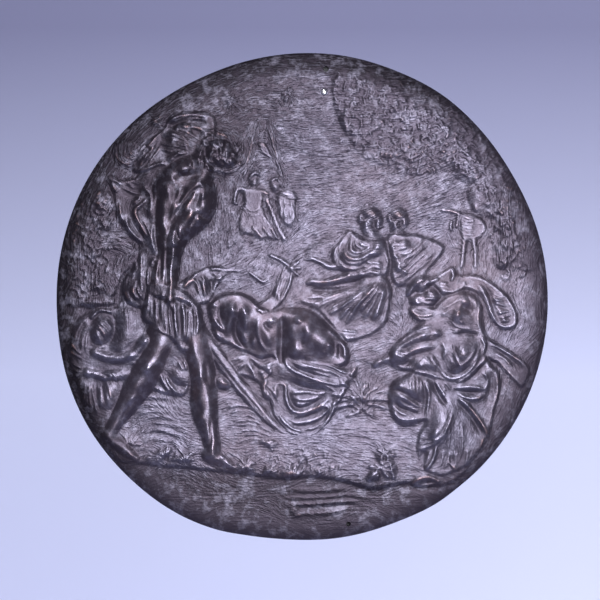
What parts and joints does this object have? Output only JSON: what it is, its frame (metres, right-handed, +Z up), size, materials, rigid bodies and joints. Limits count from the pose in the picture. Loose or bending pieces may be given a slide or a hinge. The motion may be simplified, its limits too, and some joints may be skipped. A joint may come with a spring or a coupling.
{
  "type": "relief plaque",
  "caption": "Round cast bronze wall plaque with a figured scene in relief, a rolled edge, nail holes and a polished pin near the top.",
  "frame": {"origin": "centre of the flat back", "axes": "plaque upright, +Z up, relief facing -Y, +Y out of the back into the wall"},
  "size_m": [0.32, 0.0234, 0.3172],
  "materials": {
    "patinated_bronze": "dark brown-violet patina, half gloss, worn bright on the high forms",
    "bright_pin": "polished end grain"
  },
  "bodies": {
    "root": {"plaque": "patinated_bronze", "pin": "bright_pin"}
  },
  "joints": []
}
